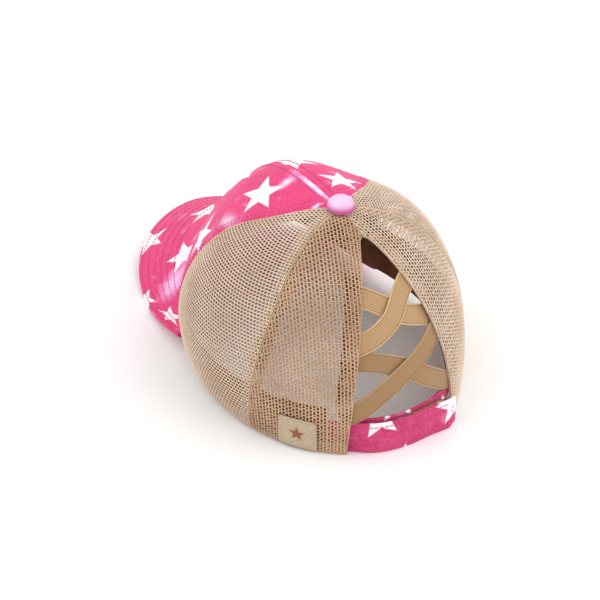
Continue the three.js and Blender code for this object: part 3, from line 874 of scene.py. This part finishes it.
def top_button():
    """A cloth-covered dome with a few faint folds, gathered at its foot, on a stem."""
    columns, rows = 96, 26
    turn = np.linspace(0, 2 * math.pi, columns, endpoint=False)
    climb = np.linspace(0, 1, rows)[:-1, None]
    folds = 0.09 * np.cos(turn * BUTTON_FOLDS) * (1 - climb) ** 3
    radius = BUTTON_RADIUS * np.cos(climb * math.pi / 2) ** 0.8 + folds
    level = BUTTON_LIFT + BUTTON_RISE * np.sin(climb * math.pi / 2) ** 1.1
    radius = np.concatenate([[[r] * columns for r, z in BUTTON_FOOT], radius])
    level = np.concatenate([[[z] for r, z in BUTTON_FOOT], level])
    x, y, z = np.broadcast_arrays(radius * np.cos(turn), radius * np.sin(turn), level)
    points = np.stack([x, y + APEX_Y, z + CROWN_HEIGHT], -1).reshape(-1, 3)
    apex = [0, APEX_Y, CROWN_HEIGHT + BUTTON_LIFT + BUTTON_RISE]
    faces = [tuple(range(columns))[::-1]]
    last = len(points) - columns
    for i in range(columns):
        n = (i + 1) % columns
        faces += [(k + i, k + n, k + n + columns, k + i + columns) for k in range(0, last, columns)]
        faces.append((last + i, last + n, len(points)))
    made = make_object("top_button_cloth", np.concatenate([points, [apex]]), faces)
    face_out(made)
    return made


MIDDLE_STITCH, FRONT_STITCHES, BACK_STITCHES = -4.8, (2.2, 5.0), (-2.5, 2.5)


def seam_runs():
    """Topstitching beside each seam of the crown, as paths on its face."""
    twill = [beside_seam(lambda h: math.pi + 0 * h, MIDDLE_STITCH, 0.22, 0.96)]
    twill += [beside_seam(side_front_seam, offset, 0.05) for offset in FRONT_STITCHES]
    net = [beside_seam(back_side_seam, offset, -0.05) for offset in BACK_STITCHES]
    return both_sides(twill), both_sides(net)


def beside_seam(seam, offset, lift, last=0.95):
    heights, lengths = meridian_table(float(seam(0.0)))
    height = np.interp(np.linspace(0.01, last, 160) * lengths[-1], lengths, heights)
    share = np.maximum(reach(seam(height), height), 0.05)
    angle = rim_angle(rim_length(seam(height)) + offset / share)
    return on_crown(angle, height, lift), crown_normal(angle, height)


# Materials

class Nodes:
    """A short way to add nodes and join them."""

    def __init__(self, tree):
        self.tree = tree

    def add(self, kind, inputs=None, **settings):
        node = self.tree.nodes.new(kind)
        for key, value in settings.items():
            setattr(node, key, value)
        for key, value in (inputs or {}).items():
            self.feed(node.inputs[key], value)
        return node

    def feed(self, socket, value):
        if isinstance(value, bpy.types.NodeSocket):
            self.tree.links.new(value, socket)
        elif isinstance(value, bpy.types.Node):
            self.tree.links.new(value.outputs[0], socket)
        else:
            socket.default_value = value

    def math(self, operation, a, b=None):
        given = {0: a} if b is None else {0: a, 1: b}
        return self.add("ShaderNodeMath", given, operation=operation).outputs[0]

    def vector(self, operation, a, b):
        return self.add("ShaderNodeVectorMath", {0: a, 1: b}, operation=operation).outputs[0]

    def mix(self, share, a, b):
        node = self.tree.nodes.new("ShaderNodeMix")
        node.data_type = "RGBA"
        self.feed(node.inputs[0], share)
        self.feed(node.inputs[6], a)
        self.feed(node.inputs[7], b)
        return node.outputs[2]

    def tint(self, mask, strength, a, b):
        """Mixes b into a where the mask is, as far as the strength says."""
        return self.mix(self.math("MULTIPLY", mask, strength), a, b)

    def span(self, value, low, high):
        given = {0: value, 1: low, 2: high}
        return self.add("ShaderNodeMapRange", given, interpolation_type="SMOOTHSTEP").outputs[0]

    def noise(self, vector, scale, detail=3.0, roughness=0.55):
        given = {"Vector": vector, "Scale": scale, "Detail": detail, "Roughness": roughness}
        return self.add("ShaderNodeTexNoise", given).outputs[0]

    def patches(self, vector, scale, low, high, detail=3.0, roughness=0.55):
        """Soft uneven patches, 0 where the noise is low and 1 where it is high."""
        return self.span(self.noise(vector, scale, detail, roughness), low, high)

    def print_place(self):
        """Place on the cloth's own chart, in millimetres."""
        return self.add("ShaderNodeUVMap", uv_map="print").outputs[0]

    def object_place(self):
        return self.add("ShaderNodeTexCoord").outputs["Object"]


class Cloth(Nodes):
    """A cloth material and its nodes."""

    def __init__(self, name, roughness, sheen):
        self.material = bpy.data.materials.new(name)
        self.material.use_nodes = True
        super().__init__(self.material.node_tree)
        self.shader = self.tree.nodes["Principled BSDF"]
        self.shader.inputs["Roughness"].default_value = roughness
        self.shader.inputs["Specular IOR Level"].default_value = 0.25
        self.shader.inputs["Sheen Weight"].default_value = sheen
        self.shader.inputs["Sheen Roughness"].default_value = 0.5

    def finish(self, colour, grain, strength, distance=0.0002):
        """Gives the material its colour and the relief of its grain."""
        relief = {"Height": grain, "Strength": strength, "Distance": distance}
        self.feed(self.shader.inputs["Base Color"], colour)
        self.feed(self.shader.inputs["Normal"], self.add("ShaderNodeBump", relief).outputs[0])
        return self.material


def rgb(*colour):
    """A colour given as the eye reads it, 0 to 255, as the shader needs it."""
    linear = [((c / 255 + 0.055) / 1.055) ** 2.4 for c in colour]
    return (*linear, 1.0)


STAR_INNER = 0.42
STAR_EDGE = 0.35


def star_group():
    """A five-pointed star: 1 inside, 0 outside, one tip along the turn."""
    tree = bpy.data.node_groups.new("plain_star", "ShaderNodeTree")
    sockets = {"Place": "Vector", "Centre": "Vector", "Radius": "Float", "Turn": "Float"}
    for name, kind in sockets.items():
        tree.interface.new_socket(name, in_out="INPUT", socket_type="NodeSocket" + kind)
    tree.interface.new_socket("Mask", in_out="OUTPUT", socket_type="NodeSocketFloat")
    nodes = Nodes(tree)
    given = nodes.add("NodeGroupInput")
    away = nodes.vector("SUBTRACT", given.outputs[0], given.outputs[1])
    parts = nodes.add("ShaderNodeSeparateXYZ", {0: away})
    x, y = parts.outputs[0], parts.outputs[1]
    squares = nodes.math("ADD", nodes.math("MULTIPLY", x, x), nodes.math("MULTIPLY", y, y))
    distance = nodes.math("SQRT", squares)
    turn = nodes.math("SUBTRACT", nodes.math("ARCTAN2", y, x), given.outputs[3])
    fifth = 2 * math.pi / 5
    wrapped = nodes.math("FLOORED_MODULO", nodes.math("ADD", turn, fifth / 2), fifth)
    from_tip = nodes.math("ABSOLUTE", nodes.math("SUBTRACT", wrapped, fifth / 2))
    along = nodes.math("MULTIPLY", distance, nodes.math("COSINE", from_tip))
    aside = nodes.math("MULTIPLY", distance, nodes.math("SINE", from_tip))
    notch = (STAR_INNER * math.cos(fifth / 2), STAR_INNER * math.sin(fifth / 2))
    edge = math.hypot(notch[0] - 1, notch[1])
    past_tip = nodes.math("SUBTRACT", along, given.outputs[2])
    past_edge = nodes.math(
        "ADD",
        nodes.math("MULTIPLY", past_tip, notch[1] / edge),
        nodes.math("MULTIPLY", aside, (1 - notch[0]) / edge),
    )
    end = nodes.add("NodeGroupOutput")
    nodes.feed(end.inputs[0], nodes.span(past_edge, STAR_EDGE, -STAR_EDGE))
    return tree


def star_mask(nodes, place, centre, radius, turn):
    group = bpy.data.node_groups.get("plain_star") or star_group()
    star = nodes.add("ShaderNodeGroup", node_tree=group)
    nodes.feed(star.inputs[0], place)
    for socket, value in zip(star.inputs[1:], ((*centre, 0), radius, turn * DEG)):
        socket.default_value = value
    return star.outputs[0]


PINK = rgb(232, 66, 126)
DEEP_PINK = rgb(208, 44, 108)
# Darker pinks for the strap: painted shade, as the upright strap faces down and away from the light.
STRAP_SHADOWED_PINK = rgb(212, 66, 120)
STRAP_SHADOWED_DEEP_PINK = rgb(190, 44, 98)
LAVENDER = rgb(244, 178, 230)
PALE = rgb(248, 236, 244)
STAR_WHITE = rgb(250, 240, 246)


def washed(nodes, place, dye, wash, white):
    """The dye with one ragged pale patch, lavender round a heart that goes towards white."""
    across, up, wide, tall, strength = wash
    moved = nodes.vector("SUBTRACT", place, (across, up, 0))
    sized = nodes.vector("DIVIDE", moved, (wide, tall, 1))
    length = nodes.add("ShaderNodeVectorMath", {0: sized}, operation="LENGTH").outputs["Value"]
    ragged = nodes.math("ADD", length, nodes.math("MULTIPLY", nodes.noise(place, 0.16), 0.8))
    dye = nodes.tint(nodes.span(ragged, 1.5, 0.55), strength, dye, LAVENDER)
    return nodes.tint(nodes.span(ragged, 1.1, 0.35), strength * white, dye, PALE)


def printed_twill(name, stars, washes, deep=0.35, light_dye=PINK, deep_dye=DEEP_PINK, white=1.0):
    """Tie-dyed twill with pale patches and white stars. deep is the share of uneven dye."""
    nodes = Cloth(name, 0.88, 0.15)
    place = nodes.print_place()
    dye = nodes.mix(nodes.patches(place, 0.045, 0.3, 0.62, 4.0, 0.6), deep_dye, light_dye)
    dye = nodes.mix(deep, light_dye, dye)
    dye = nodes.tint(nodes.patches(place, 0.075, 0.56, 0.76), 0.55, dye, LAVENDER)
    dye = nodes.tint(nodes.patches(place, 0.5, 0.52, 0.8, 4.0, 0.7), 0.22, dye, PALE)
    for wash in washes:
        dye = washed(nodes, place, dye, wash, white)
    ripple = nodes.add("ShaderNodeTexNoise", {"Vector": place, "Scale": 0.9, "Detail": 2.0}).outputs[1]
    ripple = nodes.vector("MULTIPLY", nodes.vector("SUBTRACT", ripple, (0.5, 0.5, 0.5)), (0.7, 0.7, 0.7))
    printed = nodes.vector("ADD", place, ripple)
    for across, up, radius, turn in stars:
        dye = nodes.mix(star_mask(nodes, printed, (across, up), radius, turn), dye, STAR_WHITE)
    weave = {"Vector": place, "Scale": 0.55, "Distortion": 0.6, "Detail": 1.0}
    twill = nodes.add("ShaderNodeTexWave", weave, bands_direction="DIAGONAL").outputs[1]
    grain = nodes.math("ADD", nodes.math("MULTIPLY", twill, 0.5), nodes.noise(place, 1.6))
    return nodes.finish(dye, grain, 0.35)


def net_material(name, light, dark):
    nodes = Cloth(name, 0.72, 0.2)
    place = nodes.object_place()
    colour = nodes.mix(nodes.patches(place, 35.0, 0.3, 0.7), dark, light)
    fleck = nodes.patches(place, 900.0, 0.35, 0.7, 2.0)
    colour = nodes.tint(fleck, 0.35, colour, rgb(172, 138, 110))
    return nodes.finish(colour, nodes.noise(place, 2600.0, 2.0), 0.5)


def ribbed_material(name, painted_shade):
    """Ribbed elastic with rolled edges. Its last argument darkens the yarn towards deep brown: painted
    shade for the lower pair, which lies low at the back, away from the light.
    """
    nodes = Cloth(name, 0.8, 0.2)
    place = nodes.print_place()
    across = nodes.add("ShaderNodeSeparateXYZ", {0: place}).outputs[1]
    ribs = nodes.math("COSINE", nodes.math("MULTIPLY", across, BAND_RIBS / BAND_WIDTH * 2 * math.pi))
    edge = nodes.math("ABSOLUTE", across)
    # Lighter on the ribs and darker in the valleys between them: painted shade.
    colour = nodes.mix(nodes.span(ribs, -1.0, 0.2), rgb(176, 138, 98), rgb(198, 161, 118))
    colour = nodes.tint(nodes.noise(place, 0.35), 0.35, colour, rgb(180, 142, 100))
    # Painted shade in a dark line beside each rolled edge, and a painted highlight on the roll itself.
    shadow_beside_roll = nodes.span(edge, BAND_WIDTH * 0.40, BAND_WIDTH * 0.43)
    highlight_on_roll = nodes.span(edge, BAND_WIDTH * 0.43, BAND_WIDTH * 0.46)
    colour = nodes.mix(shadow_beside_roll, colour, rgb(150, 112, 76))
    colour = nodes.mix(highlight_on_roll, colour, rgb(216, 182, 138))
    # Painted shade: the whole band darkened towards deep brown, as far as the last argument says.
    colour = nodes.mix(painted_shade, colour, rgb(120, 84, 54))
    knit = nodes.add("ShaderNodeTexWave", {"Vector": place, "Scale": 1.1, "Distortion": 0.5})
    return nodes.finish(colour, knit.outputs[1], 0.3)


def plain_cloth(name, light, dark, scale=60.0, grain=900.0, roughness=0.85):
    nodes = Cloth(name, roughness, 0.15)
    place = nodes.object_place()
    colour = nodes.mix(nodes.patches(place, scale, 0.32, 0.68, 4.0), dark, light)
    fine = nodes.noise(place, grain, 2.0)
    colour = nodes.tint(nodes.span(fine, 0.4, 0.75), 0.3, colour, dark)
    warp = nodes.add("ShaderNodeTexWave", {"Vector": place, "Scale": grain * 0.6, "Distortion": 1.0})
    return nodes.finish(colour, nodes.math("ADD", warp.outputs[1], fine), 0.35)


def button_material():
    """Pale tie-dyed cloth, with painted shade in deep magenta on the low part of the dome round the
    button's foot.
    """
    nodes = Cloth("button_cloth", 0.6, 0.3)
    place = nodes.object_place()
    level = nodes.add("ShaderNodeSeparateXYZ", {0: place}).outputs[2]
    dye = nodes.mix(nodes.patches(place, 90.0, 0.3, 0.7), rgb(244, 176, 224), rgb(254, 216, 244))
    # Painted shade: the dome is deep magenta at its foot and fades to the pale dye higher up.
    clear_of_foot_shadow = nodes.span(level, (CROWN_HEIGHT + 1.8) * MM, (CROWN_HEIGHT + 5.6) * MM)
    dye = nodes.mix(clear_of_foot_shadow, rgb(200, 84, 152), dye)
    return nodes.finish(dye, nodes.noise(place, 1500.0), 0.3)


def label_material():
    """Plain beige cloth with one small generic star."""
    nodes = Cloth("label_weave", 0.85, 0.1)
    place = nodes.print_place()
    patches = nodes.patches(place, 0.5, 0.3, 0.7, 4.0)
    colour = nodes.mix(patches, rgb(182, 160, 132), rgb(200, 180, 152))
    colour = nodes.mix(star_mask(nodes, place, (0, 0), 5.2, 90), colour, rgb(150, 92, 62))
    weave = nodes.add("ShaderNodeTexChecker", {"Vector": place, "Scale": 3.0}).outputs[1]
    return nodes.finish(colour, nodes.math("ADD", weave, nodes.noise(place, 3.0)), 0.25, 0.0001)


def thread(name, colour):
    nodes = Cloth(name, 0.6, 0.1)
    place = nodes.object_place()
    worn = tuple(c * 0.7 for c in colour)
    yarn = nodes.mix(nodes.noise(place, 500.0), colour, worn)
    return nodes.finish(yarn, nodes.noise(place, 3000.0), 0.4, 0.0001)


# Putting it together

def dress(piece, finish, slot, *nodes, lining=None):
    """Gives a piece its material and its body, and hides the CAD nodes it stands for. The slot is not
    used.
    """
    piece.data.materials.clear()
    piece.data.materials.append(finish)
    if lining is not None:
        piece.data.materials.append(lining)
        first, end = piece["lined_faces"]
        for face in piece.data.polygons[first:end]:
            face.material_index = 1
    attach(piece, "root")
    if nodes:
        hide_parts(*nodes)


def dress_front():
    lining = plain_cloth("lining_cloth", rgb(134, 92, 64), rgb(104, 66, 42))
    for word, side, stars, washes in (
        ("left", 1, LEFT_STARS, LEFT_WASHES),
        ("right", -1, RIGHT_STARS, RIGHT_WASHES),
    ):
        cloth = printed_twill("front_print_" + word, stars, washes)
        panel = front_panel("front_twill_" + word, side)
        dress(panel, cloth, "printed_twill", "front_panel_" + word, lining=lining)


def dress_nets():
    """The four net panels. The left back one reads deeper in the photograph than the others, so it gets
    a darker copy of the yarn, which is painted shade.
    """
    pale_yarn = net_material("pale_net_yarn", rgb(240, 216, 194), rgb(224, 197, 172))
    # A darker copy of the net yarn, painted shade for the left back panel, which lies away from the
    # light.
    shadowed_yarn = net_material("shadowed_net_yarn", rgb(218, 182, 148), rgb(196, 158, 124))
    # Dark brown cloth that is painted shade: it backs the opening's hem so that its holes read dark.
    shadow_backing = plain_cloth("hem_shadow_cloth", rgb(134, 94, 64), rgb(96, 62, 38))
    front_binding = plain_cloth("front_binding_cloth", rgb(212, 182, 152), rgb(184, 152, 122))
    back_binding = plain_cloth("back_binding_cloth", rgb(186, 150, 116), rgb(150, 114, 82))
    for word, side, back_yarn in (("left", 1, shadowed_yarn), ("right", -1, pale_yarn)):
        dress(side_net("side_net_" + word, side), pale_yarn, "beige_mesh", "side_mesh_" + word)
        dress(back_net("back_net_" + word, side), back_yarn, "beige_mesh", "back_mesh_" + word)
        dress(seam_tape("front_seam_tape_" + word, side_front_seam, side), front_binding, "tape")
        dress(seam_tape("back_seam_tape_" + word, back_side_seam, side), back_binding, "tape")
        # A dark strip behind the opening's hem, painted shade for the hem that lies in shadow.
        hem_shadow_strip = seam_tape("opening_shadow_tape_" + word, opening_angle, side, 0.22, 0.74, 0.62)
        dress(hem_shadow_strip, shadow_backing, "tape")


def dress_elastics():
    upper_yarn = ribbed_material("elastic_yarn_upper", 0.0)
    # The lower pair gets a darkened copy of the yarn, which is painted shade.
    shadowed_lower_yarn = ribbed_material("elastic_yarn_lower_shadowed", 0.42)
    for node, table in BANDS.items():
        yarn = shadowed_lower_yarn if "lower" in node else upper_yarn
        dress(elastic(node, table), yarn, "elastic", node)


def dress_straps():
    """The closing strap's two ends and the strip between them, and the paths of their stitches."""
    # The strap's darker pinks and its larger share of deep dye are painted shade.
    shadowed_dyes = (0.9, STRAP_SHADOWED_PINK, STRAP_SHADOWED_DEEP_PINK)
    outer_print = printed_twill("outer_strap_print", OUTER_STRAP_STARS, [], *shadowed_dyes)
    inner_print = printed_twill("inner_strap_print", INNER_STRAP_STARS, [], *shadowed_dyes)
    # Tan cloth with dark brown patches; the brown is painted shade of the strip that lies between the
    # straps.
    hooks = plain_cloth("hook_tape", rgb(190, 148, 104), rgb(112, 74, 46), 300.0, 1800.0, 0.95)
    outer, outer_runs = strap(
        "back_strap_outer_cloth", OUTER_STRAP, STRAP_THICKNESS, 0, STRAP_HEIGHT, TAB_CHAMFER
    )
    inner, inner_runs = strap(
        "back_strap_inner_cloth", INNER_STRAP, INNER_STRAP_THICKNESS,
        INNER_STRAP_BOTTOM, INNER_STRAP_HEIGHT, 0,
    )
    dress(outer, outer_print, "printed_twill", "back_strap_outer")
    dress(inner, inner_print, "printed_twill", "back_strap_inner")
    dress(fastener(), hooks, "tape", "strap_fastener")
    return outer_runs + inner_runs


def dress_stitches(visor_paths, strap_paths, label_paths):
    pink = thread("pink_thread", rgb(226, 96, 150))
    beige = thread("beige_thread", rgb(222, 202, 170))
    twill_runs, net_runs = seam_runs()
    visor_sizes = {"pitch": 2.8, "length": 2.0, "radius": 0.2}
    label_sizes = {"pitch": 1.8, "length": 1.3, "radius": 0.14}
    dress(stitch_object("crown_stitches", twill_runs), pink, "printed_twill")
    dress(stitch_object("net_stitches", net_runs), beige, "beige_mesh")
    dress(stitch_object("visor_stitches", visor_paths, **visor_sizes), pink, "printed_twill")
    dress(stitch_object("strap_stitches", strap_paths, radius=0.2), pink, "printed_twill")
    dress(stitch_object("label_stitches", label_paths, **label_sizes), beige, "label_cloth")


def build_cap():
    dress_front()
    dress_nets()
    visor_cloth, visor_paths = visor()
    visor_print = printed_twill("visor_print", VISOR_STARS, VISOR_WASHES, white=0.25)
    dress(visor_cloth, visor_print, "printed_twill", "visor")
    dress(top_button(), button_material(), "button_cloth", "top_button")
    tape = plain_cloth("tape_cloth", rgb(150, 98, 64), rgb(116, 72, 46))
    dress(sweatband(), tape, "tape", "sweatband")
    dress_elastics()
    strap_paths = dress_straps()
    patch, label_paths = label()
    dress(patch, label_material(), "label_cloth", "label_patch")
    dress_stitches(visor_paths, strap_paths, label_paths)


# Floor, light and camera

def floor():
    bpy.ops.mesh.primitive_plane_add(size=6, location=(0, 0, -0.0004))
    made = bpy.context.object
    made.name = "pale_floor"
    finish = bpy.data.materials.new("pale_floor")
    finish.use_nodes = True
    shader = finish.node_tree.nodes["Principled BSDF"]
    shader.inputs["Base Color"].default_value = (0.98, 0.98, 0.98, 1)
    shader.inputs["Roughness"].default_value = 0.9
    shader.inputs["Specular IOR Level"].default_value = 0.1
    made.data.materials.append(finish)


def sun(name, towards, strength, breadth):
    """Even light from one direction, softened by its breadth in degrees."""
    light = bpy.data.lights.new(name, "SUN")
    light.energy = strength
    light.angle = breadth * DEG
    made = bpy.data.objects.new(name, light)
    made.rotation_euler = (-Vector(towards)).to_track_quat("-Z", "Y").to_euler()
    bpy.context.scene.collection.objects.link(made)


def world(strength):
    made = bpy.data.worlds.new("studio")
    made.use_nodes = True
    background = made.node_tree.nodes["Background"]
    background.inputs[0].default_value = (1, 1, 1, 1)
    background.inputs[1].default_value = strength
    bpy.context.scene.world = made


CAMERA_AZIMUTH, CAMERA_ELEVATION, CAMERA_DISTANCE = 148.9 * DEG, 37.05 * DEG, 1.3562
CAMERA_AIM = Vector((0.0118, 0.0262, 0.0417))
FOCAL_LENGTH, SENSOR = 140.24, 36.0


def camera():
    data = bpy.data.cameras.new("camera")
    data.lens = FOCAL_LENGTH
    data.sensor_width = SENSOR
    made = bpy.data.objects.new("camera", data)
    away = Vector((
        math.sin(CAMERA_AZIMUTH) * math.cos(CAMERA_ELEVATION),
        -math.cos(CAMERA_AZIMUTH) * math.cos(CAMERA_ELEVATION),
        math.sin(CAMERA_ELEVATION),
    ))
    made.location = CAMERA_AIM + away * CAMERA_DISTANCE
    made.rotation_euler = (-away).to_track_quat("-Z", "Y").to_euler()
    bpy.context.scene.collection.objects.link(made)
    bpy.context.scene.camera = made


def studio():
    bpy.context.scene.view_settings.view_transform = "Standard"
    floor()
    world(0.90)
    sun("key", (-0.75, 0.45, 0.8), 0.95, 60)
    sun("fill", (0.86, -0.50, 0.8), 0.5, 60)
    camera()


build_cap()
studio()
